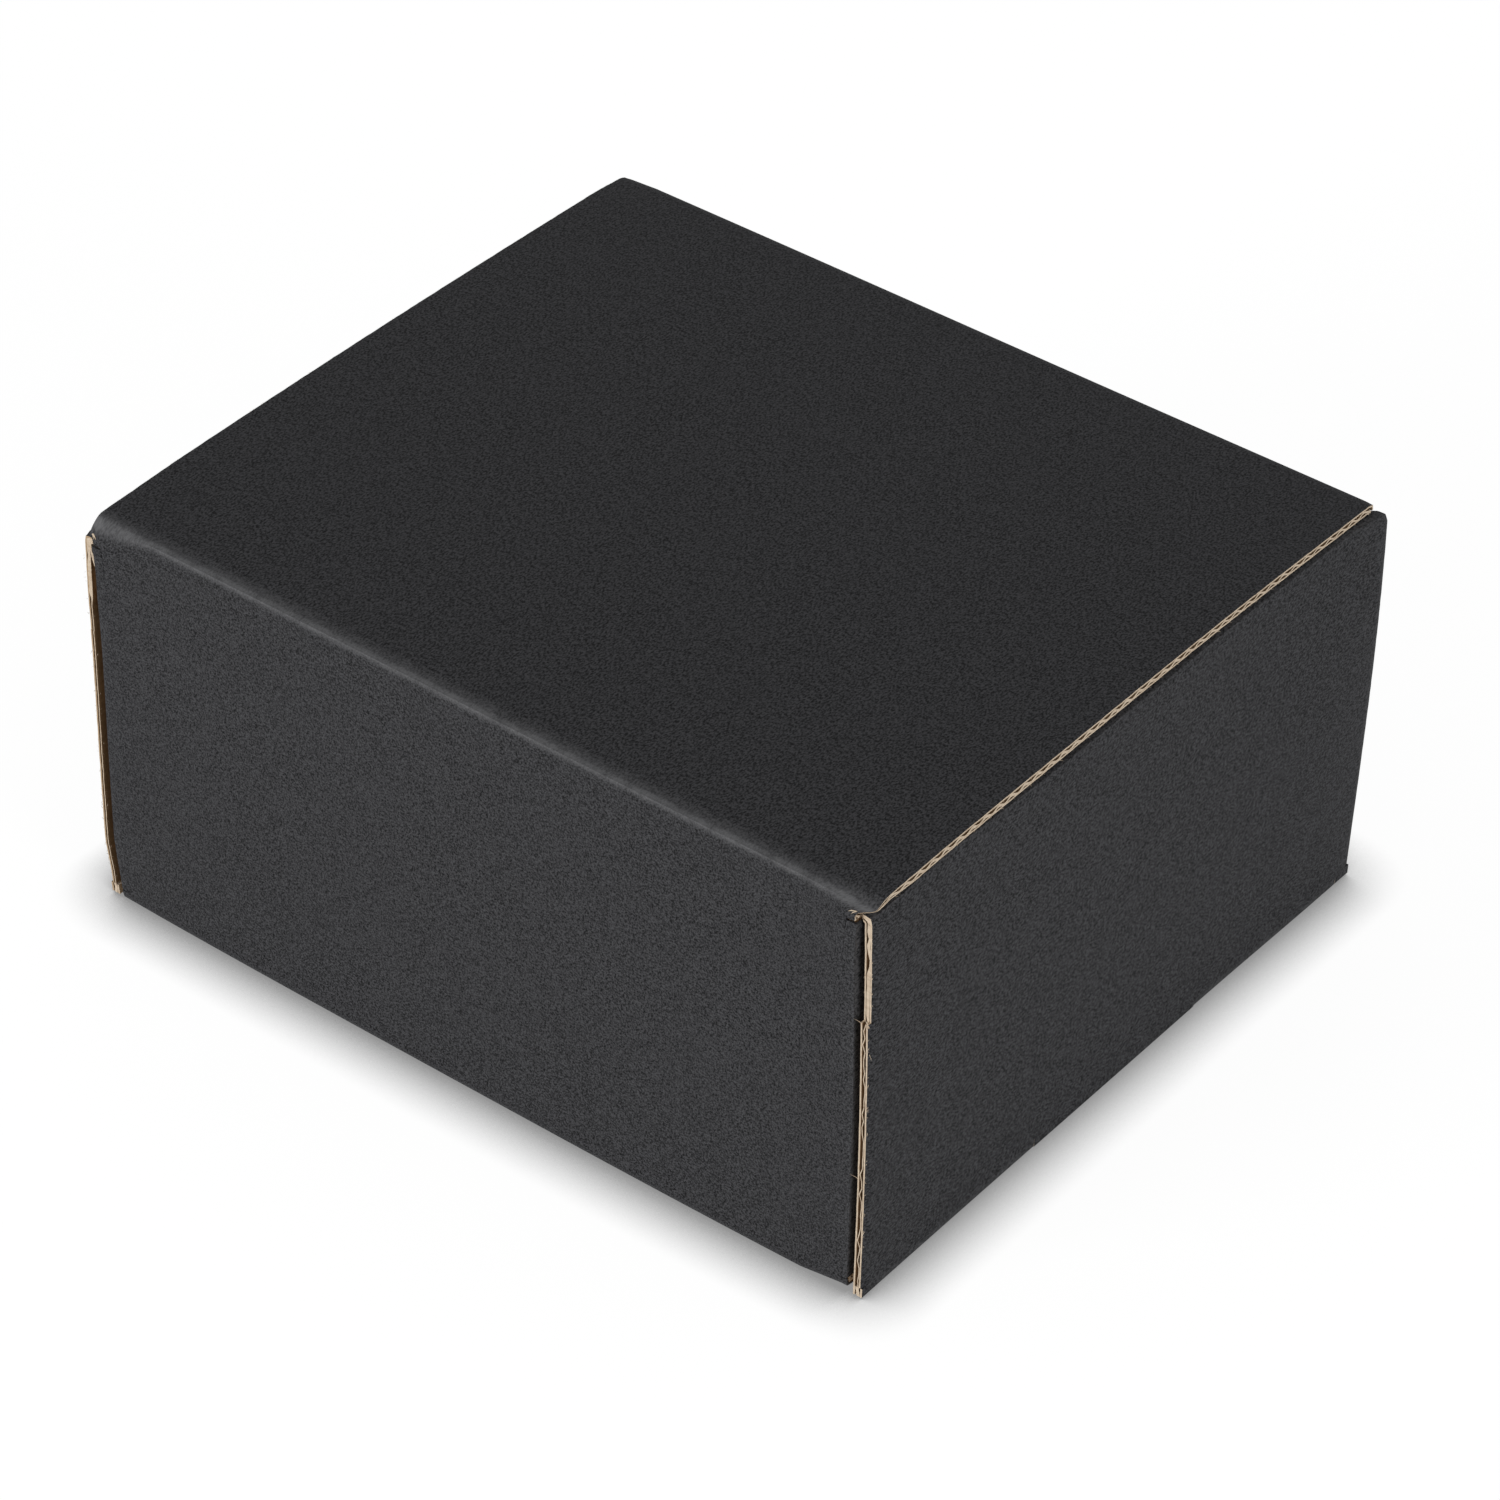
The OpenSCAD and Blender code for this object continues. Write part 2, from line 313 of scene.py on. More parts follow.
class Sheet:
    """Gathers the closed slabs of paper that make one piece."""

    def __init__(self, settle):
        self.settle = settle
        self.side_rim, self.end_rim = CUT, CUT
        self.points, self.faces, self.papers, self.wear_and_sheen = [], [], [], []
        self.count = 0

    def slab(self, chain, across, near, far, to_space, paper, dip=0.0, crush=0.0):
        """Closed slab between the depths near and far under the chain's outer face.

        across holds a position for each line along the chain and each station. paper holds
        the papers of the outer face, the inner face, the side rims and the end rims."""
        lines, stations = across.shape
        grids = []
        for depth in (near, far):
            depth = np.broadcast_to(depth, across.shape)
            depth = depth + (dip - chain.bulges[None]) * np.maximum(0, 1 - depth / BOARD)
            depth = depth * (1 - crush)
            flat = chain.places[None] - chain.normals[None] * depth[:, :, None]
            grids.append(to_space(flat[:, :, 0], flat[:, :, 1], across).reshape(-1, 3))
        base = self.count
        index = base + np.arange(lines * stations).reshape(lines, stations)
        under = index + lines * stations
        self.points.append(np.concatenate(grids))
        self.wear_and_sheen.append(np.tile(np.broadcast_to(chain.wear_and_sheen, across.shape).ravel(), 2))
        self.count += 2 * lines * stations
        top = quads(index)
        self.faces.append(top)
        self.papers.append(np.full(len(top), paper[0]))
        bottom = quads(under)[:, ::-1]
        self.faces.append(bottom)
        self.papers.append(np.full(len(bottom), paper[1]))
        for line, reverse in ((0, False), (lines - 1, True)):
            self.faces.append(rim_quads(index[line], under[line], reverse))
            self.papers.append(np.full(stations - 1, paper[2]))
        for station, reverse in ((0, True), (stations - 1, False)):
            self.faces.append(rim_quads(index[:, station], under[:, station], reverse))
            self.papers.append(np.full(lines - 1, paper[3]))

    def board(self, chain, fine_chain, across, fine_across, to_space, wave, dip=None, seed=0,
              peel=None, inner_across=None, crush=None, burr=lambda distances: BURR):
        """Three slabs: the printed liner, the wavy medium and the inner liner.

        across, fine_across, inner_across, wave, dip, peel and crush are functions that give
        grids for a chain. peel gives how far the inner liner has come away, and how much of
        the medium clings to the printed liner there. crush is the share of the thickness
        that is lost. burr gives how much the cut has thickened the medium's edge
        on its two sides, towards the printed liner and towards the inner one."""
        dip = dip or (lambda grid, distances: 0.0)
        crush = crush or (lambda grid, distances: 0.0)
        peel = peel or (lambda grid, distances: (0.0, 0.0))
        wide = across(chain, seed)
        low = dip(wide, chain.distances)
        self.slab(chain, wide, 0.0, LINER, to_space, (INK, FLUTE, self.side_rim, self.end_rim),
                  low, crush(wide, chain.distances))
        other = (inner_across or across)(chain, seed + 1)
        away = peel(other, chain.distances)[0]
        self.slab(chain, other, BOARD - LINER + away, BOARD + away, to_space,
                  (FLUTE, KRAFT, CUT, CUT), low, crush(other, chain.distances))
        between = fine_across(fine_chain, seed + 2)
        away, cling = peel(between, fine_chain.distances)
        swing = FLUTE_SWING * (1 - 0.45 * fine_chain.crushed)
        middle = BOARD / 2 + swing * wave(between, fine_chain.distances)
        middle = middle + cling * (LINER + MEDIUM / 2 + PEEL_GAP - middle)
        at_edge = 1 - smooth(to_edge(between), 0.1, 0.6)
        outward, inward = burr(fine_chain.distances)
        high_side = np.maximum(middle - MEDIUM / 2 - outward * at_edge, LINER)
        low_side = np.minimum(middle + MEDIUM / 2 + inward * at_edge, BOARD - LINER)
        self.slab(fine_chain, between, high_side, low_side, to_space,
                  (FLUTE, FLUTE, CUT, CUT), dip(between, fine_chain.distances),
                  crush(between, fine_chain.distances))

    def fibres(self, start, end, outward, count, seed):
        """Fine paper fibres that stand out of a cut edge, from start to end."""
        dice = random.Random(seed)
        start, end, outward = [np.array(place, float) for place in (start, end, outward)]
        along = (end - start) / np.linalg.norm(end - start)
        for _ in range(count):
            root = start + (end - start) * dice.random() - outward * 0.1
            reach = 0.2 + 0.3 * dice.random() ** 2
            aside = np.cross(along, outward) * dice.uniform(-0.2, 0.2)
            tip = root + outward * reach + along * dice.uniform(-0.6, 0.6) + aside
            self.spike(root, tip, dice.uniform(0.05, 0.1), CUT, dice.uniform(-0.08, 0.08))

    def spike(self, root, tip, width, paper, bend=0.0):
        """Thin flake or fibre of torn paper from root to tip."""
        root, tip = np.array(root, float), np.array(tip, float)
        way = tip - root
        side = np.cross(way, [0.3, 0.2, 0.93])
        side = side / (np.linalg.norm(side) + 1e-9) * width / 2
        lift = np.cross(side, way)
        lift = lift / (np.linalg.norm(lift) + 1e-9)
        middle = root + way * 0.55 + lift * bend
        thick = lift * min(0.12, width / 3)
        points = [root - side, root + side, root + thick, middle - side * 0.8,
                  middle + side * 0.6, middle + thick, tip]
        faces = [(0, 1, 2), (0, 3, 4), (0, 4, 1), (1, 4, 5), (1, 5, 2), (2, 5, 3), (2, 3, 0),
                 (3, 6, 4), (4, 6, 5), (5, 6, 3)]
        self.points.append(np.array(points))
        self.wear_and_sheen.append(np.zeros(len(points)))
        self.faces.append([tuple(self.count + i for i in face) for face in faces])
        self.papers.append(np.full(len(faces), paper))
        self.count += len(points)

    def make(self, name):
        """The piece as a mesh object in metres, with its place at rest kept for textures."""
        rest = np.concatenate(self.points)
        places = self.settle(rest) * MM
        faces = [tuple(int(i) for i in face) for group in self.faces for face in group]
        mesh = bpy.data.meshes.new(name)
        mesh.from_pydata(places.tolist(), [], faces)
        mesh.polygons.foreach_set("material_index", np.concatenate(self.papers).astype(np.int32))
        mesh.polygons.foreach_set("use_smooth", np.ones(len(faces), bool))
        kept = mesh.attributes.new("sheet_place", "FLOAT_VECTOR", "POINT")
        kept.data.foreach_set("vector", (rest * MM).astype(np.float32).ravel())
        worn_and_lit = mesh.attributes.new("crease_wear_and_sheen", "FLOAT", "POINT")
        worn_and_lit.data.foreach_set("value", np.concatenate(self.wear_and_sheen).astype(np.float32))
        shaper = bmesh.new()
        shaper.from_mesh(mesh)
        bmesh.ops.recalc_face_normals(shaper, faces=shaper.faces)
        shaper.to_mesh(mesh)
        shaper.free()
        mesh.set_sharp_from_angle(angle=math.radians(38))
        piece = bpy.data.objects.new(name, mesh)
        bpy.context.scene.collection.objects.link(piece)
        for material in PAPERS:
            mesh.materials.append(material)
        return piece


def quads(index):
    """Faces of a grid of point numbers."""
    corners = [index[:-1, :-1], index[1:, :-1], index[1:, 1:], index[:-1, 1:]]
    return np.stack([corner.ravel() for corner in corners], axis=1)


def rim_quads(upper, lower, reverse):
    """Faces that join two rows of points."""
    faces = np.stack([upper[:-1], upper[1:], lower[1:], lower[:-1]], axis=1)
    return faces[:, ::-1] if reverse else faces


def held_in(positions, half, full, reach):
    """Positions of a span of half width full, pressed in near its ends to a smaller half width."""
    size = np.abs(positions)
    return np.sign(positions) * (size - (full - half) * smooth(size, full - reach, full))


def ragged(chain, positions, full, seed, amount):
    """How far each line is off its place, only at the cut edges."""
    noise = wander(chain.distances[None], 4.3, seed) + 0.6 * wander(chain.distances[None], 1.6, seed + 50)
    near = smooth(np.abs(positions), full - 0.7, full)
    return np.sign(positions) * near * noise * amount


def span(positions, half_at, full, reach=40.0, rough=0.03, far_half_at=None):
    """Function that gives a chain's grid of positions across, at each station's half width.

    far_half_at is for the positive end, where it isn't the same as the negative one."""

    def grid(chain, seed):
        half = np.interp(chain.distances, *half_at)[None]
        far_half = np.interp(chain.distances, *(far_half_at or half_at))[None]
        half = np.where(positions[:, None] < 0, half, far_half)
        wide = held_in(positions[:, None], half, full, reach)
        return wide + ragged(chain, positions[:, None], full, seed, rough)

    return grid


def changing(first, second, start, end):
    """Burr that changes from the first pair to the second between two distances."""

    def burr(distances):
        share = smooth(distances, start, end)
        return [a + (b - a) * share for a, b in zip(first, second)]

    return burr


def flute_wave(positions):
    return np.cos(2 * math.pi * positions / FLUTE_PITCH)


def waves_along(grid, distances):
    """Medium whose waves follow each other along the chain."""
    return np.broadcast_to(flute_wave(distances)[None], grid.shape)


def waves_across(seed):
    """Medium whose waves follow each other across the chain, with the cut wandering over them."""

    def wave(grid, distances):
        drift = 0.4 * FLUTE_PITCH * wander(distances, 7.0, seed)
        drift = drift + 0.15 * FLUTE_PITCH * wander(distances, 4.0, seed + 3)
        return flute_wave(grid + drift[None])

    return wave


def rippled(points, amount=RIPPLE):
    """Slow unevenness of the board's faces, as a shift along each axis."""
    x, y, z = points.T
    shift_x = np.sin(y / 17 + 0.7) * np.sin(z / 13 + 0.4)
    shift_y = np.sin(x / 19 + 1.9) * np.sin(z / 14 + 1.0)
    shift_z = np.sin(x / 21 + 0.3) * np.sin(y / 18 + 2.2)
    return amount * np.stack([shift_x, shift_y, shift_z], axis=1)


def by_hinge(y, near, far):
    """1 up to a distance near from the hinge wall's face and 0 from a distance far."""
    return 1 - smooth(y, -HALF_DEPTH + near, -HALF_DEPTH + far)


def tray_shift(points):
    """How far the tray's board is bent out of true at each point."""
    x, y, z = points.T
    shift = rippled(points)
    shift[:, 2] *= smooth(z, 3, 12)
    high = np.clip(z / HEIGHT, 0, 1)
    outside_ears = smooth(np.abs(x), EAR_FACE + 0.02, EAR_FACE + 0.3)

    # Hinge wall: leans, bows at its foot and is lifted at its right lower corner
    near_hinge = smooth(-y, HALF_DEPTH - 24, HALF_DEPTH - 2)
    in_hinge_wall = near_hinge * (1 - outside_ears)
    bow = FOOT_BOW * (1 - np.clip(x / HALF_LENGTH, -1, 1) ** 2) * (1 - smooth(z, 2, 62))
    shift[:, 1] += HINGE_LEAN * high**3 * in_hinge_wall - bow * near_hinge
    corner = smooth(x, 67.5, 72.5) * (1 - smooth(z, 0, 10))
    lift = corner * smooth(-y, HALF_DEPTH - 9, HALF_DEPTH - 1)
    shift[:, 2] += FOOT_LIFT * lift * in_hinge_wall

    # Ears of the hinge wall: pressed inwards
    ear = smooth(np.abs(x), 66, 71.5) * (1 - outside_ears)
    press = ear * (1 - smooth(y, -62, -50)) * (1 - smooth(z, 66.5, 69))
    shift[:, 0] -= EAR_PRESS * press * np.sign(x)

    # Side walls: lean in, rise between their ends and drop at the corners by the hinge
    side = smooth(np.abs(x), HALF_LENGTH - 14, HALF_LENGTH - 4)
    right, left = side * (x > 0), side * (x < 0)
    shift[:, 2] += SIDE_RISE * smooth(z, 40, 70) * side
    shift[:, 0] -= SIDE_LEAN * high**2 * by_hinge(y, 8, 55) * right
    between_ends = (1 - by_hinge(y, 8, 55)) * (1 - smooth(y, 56, 65))
    shift[:, 0] -= SIDE_TOP_LEAN * smooth(z, 35, 71) * between_ends * right
    drop = SIDE_CORNER_DROP * right + LEFT_CORNER_DROP * left
    shift[:, 2] -= drop * high**2 * (1 - smooth(y, -60, -45))
    middle = 1 - (2 * high - 1) ** 2
    shift[:, 0] += (FAR_EDGE_OUT + FAR_EDGE_BOW * middle) * smooth(y, 20, 62) * right
    shift[:, 0] -= np.interp(z, *LEFT_EDGE_OUT) * by_hinge(y, 4, 40) * left
    return shift


def settle_tray(points):
    return points + tray_shift(points)


def lid_shift(points):
    """How far the lid's board is bent out of true at each point."""
    x, y, z = points.T
    shift = rippled(points)
    share = np.clip((y - STRIP_LID_END) / (LID_FRONT - STRIP_LID_END), 0, 1)
    shift[:, 2] += LID_BOW * 4 * share * (1 - share) * smooth(share, 0, 0.12)
    shift[:, 2] += 0.1 + LID_RISE * (1 - np.exp(-np.maximum(y + HALF_DEPTH, 0) / 8))
    shift[:, 2] -= (FRONT_DROP - FRONT_TILT * (1 - x / LID_HALF)) * smooth(y, 20, 60)
    shift[:, 2] -= CORNER_DROOP * smooth(x, 66, LID_HALF) * (1 - smooth(y, -65.5, -61.5))
    shift[:, 2] -= BACK_CORNER_DROOP * smooth(-x, LID_HALF - 6, LID_HALF) * smooth(y, 55, LID_FRONT)
    shift[:, 1] += HINGE_LEAN * (1 - smooth(y, STRIP_LID_END, STRIP_LID_END + 30))
    return shift


def settle_lid(points):
    return points + lid_shift(points)


def settle_strip(points):
    """The hinge crease follows the tray at its lower end and the lid at its upper end."""
    x, y, z = points.T
    along = (y + HALF_DEPTH + z - HEIGHT) / math.sqrt(2)
    share = smooth(along, -BLEND_REACH, BLEND_REACH)[:, None]
    return points + tray_shift(points) * (1 - share) + lid_shift(points) * share


def to_edge(grid):
    """Distance of each point from the nearer cut edge across the chain."""
    return np.minimum(grid - grid[:1], grid[-1:] - grid)


def peeled(grid, distances):
    """The left wall's raw edge by the hinge wall, whose layers have come apart."""
    near = 1 - smooth(grid - grid[:1], 0.2, 4.5)
    outer_wall = 1 - smooth(distances, SPINE_BEND - FOLD - 5, SPINE_BEND - FOLD)
    low = 1 - smooth(distances, PEEL_TOP - FOLD - 1, PEEL_TOP - FOLD)
    return PEEL * near * outer_wall, near * low


def pressed(amount):
    """How far the die has pressed the printed liner down along the cut edges."""
    return lambda grid, distances: amount * (1 - smooth(to_edge(grid), 0, 1.4))


def lid_crush(grid, distances):
    """How far the lid's board is pressed flat at its raw edges and its two hinge corners."""
    corner = SEAM_CRUSH * (1 - smooth(distances, 0, 7)) * (1 - smooth(to_edge(grid), 1, 6))
    return EDGE_CRUSH * (1 - smooth(to_edge(grid), 0, CRUSH_REACH)) + corner


def strip_crush(grid, distances):
    """The same along the hinge crease, whose ends are pressed nearly flat."""
    up = smooth(distances, 0, 1.1)
    end = distances[-1]
    corner = CREASE_CRUSH - (CREASE_CRUSH - SEAM_CRUSH) * smooth(distances, 1.6, end)
    corner = corner * (1 - smooth(to_edge(grid), 1, 6))
    return up * (EDGE_CRUSH * (1 - smooth(to_edge(grid), 0, CRUSH_REACH)) + corner)


def along_x(a, b, across):
    return np.stack([across, a, b], axis=2)


def side_space(sign):
    return lambda a, b, across: np.stack([sign * a, across, b], axis=2)


def ear_space(sign_x, sign_y):
    return lambda a, b, across: np.stack([sign_x * a, sign_y * b, across], axis=2)


def both(start, heading, side, steps, coarse=COARSE, fine=FINE):
    """The same strip with coarse stations for the liners and fine ones for the waves."""
    return Chain(start, heading, side, steps, coarse), Chain(start, heading, side, steps, fine)


def base_and_walls():
    """Hinge wall, base, front wall and the four ears."""
    sheet = Sheet(settle_tray)
    sheet.side_rim, sheet.end_rim = INK, INK
    cross_strip(sheet)
    ears(sheet)
    return sheet.make("base_and_walls")


def cross_strip(sheet):
    """Hinge wall, base and front wall, narrower where the ears fold and at the lock slots."""
    wall = STRIP_WALL_END - FOLD
    depth = 2 * (HALF_DEPTH - FOLD)
    arc = QUARTER * (FOLD - BOARD / 2)
    base_start = wall + arc
    slot_start = base_start + depth / 2 - SLOT_HALF
    slot_end = base_start + depth / 2 + SLOT_HALF
    base_end = base_start + depth
    steps = [("go", wall), ("fold", QUARTER, BASE_WEAR), ("go", STEP),
             ("go", slot_start - base_start - STEP), ("go", STEP),
             ("go", 2 * SLOT_HALF - STEP), ("go", STEP),
             ("go", base_end - slot_end - 2 * STEP), ("go", STEP),
             ("fold", QUARTER, BASE_WEAR), ("go", FRONT_TOP - FOLD)]
    coarse, fine = both((-HALF_DEPTH, STRIP_WALL_END), -QUARTER, 1, steps)
    breaks = [wall, slot_start, slot_end, base_end + arc - STEP]
    widths = [WALL_HALF, EAR_FACE, SLOT_INNER, EAR_FACE, WALL_HALF]
    where, half = [0.0], [widths[0]]
    for place, before, after in zip(breaks, widths[:-1], widths[1:]):
        where += [place, place + STEP]
        half += [before, after]
    half_at = (where + [coarse.length], half + [widths[-1]])
    grid = span(spread(-EAR_FACE, EAR_FACE, 7.0), half_at, EAR_FACE, 20.0, rough=0.0)
    sheet.board(coarse, fine, grid, grid, along_x, waves_along, seed=1)


def ears(sheet):
    """The four ears, which fold back along the side walls and have their far corners cut off."""
    steps = [("fold", QUARTER, EAR_WEAR, EAR_SHARPNESS), ("go", EAR_LENGTH - FOLD - EAR_CORNER),
             ("go", EAR_CORNER)]
    coarse, fine = both((WALL_HALF, -HALF_DEPTH), 0.0, 1, steps, EAR_STATIONS, EAR_STATIONS)
    middle, half = (EAR_TOP + INNER_BOTTOM) / 2, (EAR_TOP - INNER_BOTTOM) / 2
    half_at = ([0, coarse.length - EAR_CORNER, coarse.length], [half, half, half - EAR_CORNER])
    liner = raised(span(spread(-half, half, 4.0), half_at, half, 28.0), middle)
    medium = raised(span(spread(-half, half, EAR_SPACING), half_at, half, 28.0), middle)
    for sign_x in (-1, 1):
        for sign_y in (-1, 1):
            seed = 11 + 4 * sign_x + 2 * sign_y
            space = ear_space(sign_x, sign_y)
            sheet.board(coarse, fine, liner, medium, space, waves_across(seed), seed=seed)


def raised(grid, middle):
    """The same grid of positions, shifted to another middle."""
    return lambda chain, seed: grid(chain, seed) + middle


def side_wall(sign, seed):
    """Outer wall with its foot crease and lip, rolled-over top, inner wall and lock tab."""
    sheet = Sheet(settle_tray)
    sheet.end_rim = INK
    # The left wall's printed liner shows its cut edges in the darker kraft liner colour, which is painted
    # shade
    sheet.side_rim = CUT if sign > 0 else KRAFT
    space = side_space(sign)
    upper = SIDE_HALF - (EDGE_STEP if sign > 0 else LEFT_EDGE_STEP)
    rolled_wall(sheet, sign, upper, space, seed)
    foot(sheet, space, seed)
    coarse, fine = both((HALF_LENGTH - SPINE_WIDTH, INNER_BOTTOM), -QUARTER, 1,
                        [("go", INNER_BOTTOM - TAB_BOTTOM)])
    part(sheet, coarse, fine, -TAB_HALF, TAB_HALF, space, seed + 7)
    for depth, count in zip(LINER_MIDDLES, WALL_FIBRES):
        face = sign * (HALF_LENGTH - depth)
        sheet.fibres((face, -SIDE_HALF, 2), (face, -SIDE_HALF, 50), (0, -1, 0), count, seed + 20)
        sheet.fibres((face, -upper, 53), (face, -upper, 68), (0, -1, 0), count // 3, seed + 21)
    if sign > 0:
        torn_bits(sheet)
    return sheet


def rolled_wall(sheet, sign, upper, space, seed):
    """Outer wall above its foot crease, rolled-over top and inner wall, as one strip."""
    arc = QUARTER * (FOLD - BOARD / 2)
    rise = EDGE_STEP_HEIGHT - FOLD
    steps = [("go", rise), ("go", STEP), ("go", SPINE_BEND - EDGE_STEP_HEIGHT - STEP),
             ("fold", QUARTER, TOP_WEAR, TOP_SHARPNESS), ("go", SPINE_WIDTH - 2 * FOLD),
             ("fold", QUARTER, INNER_WEAR), ("go", SPINE_BEND - INNER_BOTTOM)]
    coarse, fine = both((HALF_LENGTH, FOLD), QUARTER, 1, steps, WALL_STATIONS, WALL_STATIONS)
    top = SPINE_BEND - FOLD
    rolled = [top + arc, top + arc + TAPER_LENGTH, coarse.length]
    half_at = ([0, rise, rise + STEP] + rolled,
               [SIDE_HALF, SIDE_HALF, upper, upper - ROLL_TAPER, INNER_HALF, INNER_HALF])
    far_half_at = ([0, top] + rolled,
                   [SIDE_HALF, SIDE_HALF, SIDE_HALF - FAR_EDGE_STEP, INNER_HALF, INNER_HALF])
    ends = [-SIDE_HALF, -SLOT_HALF, SLOT_HALF, SIDE_HALF]
    liner_at = join_spans(*[spread(a, b, LINER_SPACING) for a, b in zip(ends[:-1], ends[1:])])
    medium_at = join_spans(*[spread(a, b, WALL_SPACING) for a, b in zip(ends[:-1], ends[1:])])
    liner = span(liner_at, half_at, SIDE_HALF, far_half_at=far_half_at)
    medium = span(medium_at, half_at, SIDE_HALF, far_half_at=far_half_at)
    filled = (EDGE_STEP_HEIGHT if sign > 0 else PEEL_TOP) - FOLD
    high_burr = RIGHT_BURR if sign > 0 else LEFT_BURR
    burr = changing(LOW_BURR, high_burr, filled - BURR_CHANGE, filled + BURR_CHANGE)
    peel, inner = None, None
    if sign < 0:
        peel = peeled
        recessed = SIDE_HALF - PEEL_RECESS
        inner_half = ([0, PEEL_TOP - FOLD - 1, PEEL_TOP - FOLD] + rolled,
                      [recessed, recessed, SIDE_HALF] + half_at[1][3:])
        inner = span(liner_at, inner_half, SIDE_HALF, 12.0, far_half_at=far_half_at)
    sheet.board(coarse, fine, liner, medium, space, waves_across(seed), pressed(WALL_EDGE_DIP), seed,
                peel, inner, burr=burr)


def foot(sheet, space, seed):
    """Foot crease beside the slot, its pressed ends, and the lip that stands over the slot."""
    crease = [("fold", QUARTER, FOOT_WEAR, RIDGE_SHARPNESS)]
    for low, high in ((-SIDE_HALF + FOOT_INSET, -SLOT_HALF), (SLOT_HALF, SIDE_HALF - FOOT_INSET)):
        coarse, fine = both((HALF_LENGTH - FOLD, 0.0), 0.0, 1, crease)
        part(sheet, coarse, fine, low, high, space, seed + 5)
    coarse, fine = both((HALF_LENGTH, FOOT_CLEAR), QUARTER, 1, [("go", FOLD - FOOT_CLEAR)])
    for low in (-SIDE_HALF, SIDE_HALF - FOOT_INSET):
        part(sheet, coarse, fine, low, low + FOOT_INSET, space, seed + 8)
    coarse, fine = both((HALF_LENGTH, 0.0), QUARTER, 1, [("go", FOLD)])
    part(sheet, coarse, fine, -SLOT_HALF, SLOT_HALF, space, seed + 6)


def torn_bits(sheet):
    """Flakes and fibres that stand out of the right wall's raw edge by the hinge wall."""
    step = EDGE_STEP_HEIGHT
    sheet.spike((75.2, -65.0, step - 0.5), (74.6, -65.3, step + 0.9), 0.45, CUT, 0.1)
    sheet.spike((74.1, -65.1, step - 0.4), (73.4, -65.7, step + 0.5), 0.16, CUT, 0.15)
    sheet.spike((75.4, -65.1, 47.0), (76.0, -65.4, 46.3), 0.1, CUT, 0.1)
    sheet.spike((74.0, -65.1, 22.5), (73.2, -65.6, 23.3), 0.12, CUT, 0.15)


def straight(positions):
    """The same positions across at each station of a chain."""
    return lambda chain, seed: np.repeat(positions[:, None], len(chain.distances), 1)


def part(sheet, coarse, fine, low, high, space, seed):
    """Short strip of board between two positions across."""
    liner_at = spread(low, high, LINER_SPACING)
    medium_at = spread(low, high, PART_SPACING)
    sheet.board(coarse, fine, straight(liner_at), straight(medium_at), space, waves_across(seed),
                seed=seed)


def lid_sheet():
    """Lid panel, its front crease and the tuck flap."""
    sheet = Sheet(settle_lid)
    panel = LID_FRONT - FOLD - STRIP_LID_END
    turn = QUARTER + TUCK_LEAN
    steps = [("go", panel - STEP), ("go", STEP), ("fold", turn, TOP_WEAR, TOP_SHARPNESS),
             ("go", TUCK_LENGTH - TUCK_CORNER), ("go", TUCK_CORNER)]
    coarse, fine = both((STRIP_LID_END, HEIGHT), 0.0, -1, steps, LID_STATIONS, FINE)
    end = coarse.length
    arc = turn * (FOLD - BOARD / 2)
    half_at = ([0, panel + 0.75 * arc, panel + 0.95 * arc, end - TUCK_CORNER, end],
               [LID_HALF, LID_HALF, TUCK_HALF, TUCK_HALF, TUCK_HALF - TUCK_CORNER])
    grid = span(spread(-LID_HALF, LID_HALF, 5.0), half_at, LID_HALF)
    sheet.end_rim = INK
    sheet.board(coarse, fine, grid, grid, along_x, waves_along, pressed(EDGE_DIP), seed=31,
                crush=lid_crush, burr=changing(BURR, FAR_BURR, FAR_BURR_START, FAR_BURR_END))
    for sign in (-1, 1):
        edge = sign * LID_HALF
        for depth, count in zip(LINER_MIDDLES, LID_FIBRES):
            z = HEIGHT - depth
            sheet.fibres((edge, -60, z), (edge, 61, z), (sign, 0, 0), count, 35 + sign)
    return sheet


def hinge_crease():
    """The strip of board between the hinge wall and the lid."""
    sheet = Sheet(settle_strip)
    rise = HEIGHT - FOLD - STRIP_WALL_END
    run = STRIP_LID_END + HALF_DEPTH - FOLD
    # The hinge ridge's lighter line is rubbed print with painted sheen, followed by a painted highlight
    # band
    steps = [("go", rise), ("fold", QUARTER, HINGE_WEAR_AND_SHEEN, RIDGE_SHARPNESS, RIDGE_SHEEN), ("go", run)]
    coarse, fine = both((-HALF_DEPTH, STRIP_WALL_END), QUARTER, -1, steps, STRIP_STATIONS,
                        STRIP_FINE_STATIONS)
    up, edge_in = STRIP_EDGE_IN
    half_at = ([0] + [rise + place for place in up] + [coarse.length],
               [LID_HALF - inset for inset in [STRIP_FOOT_IN] + edge_in + [0]])
    grid = span(spread(-LID_HALF, LID_HALF, 5.0), half_at, LID_HALF, 20.0)
    sheet.end_rim = INK
    sheet.board(coarse, fine, grid, grid, along_x, waves_along, pressed(EDGE_DIP), seed=41,
                crush=strip_crush)
    for sign in (-1, 1):
        root = (sign * 73.2, -65.3, 71.9)
        sheet.spike(root, (sign * 72.0, -65.8, 71.6), 0.34, CUT, 0.1)
        sheet.spike(root, (sign * 72.5, -65.75, 71.3), 0.22, CUT, 0.05)
    return sheet


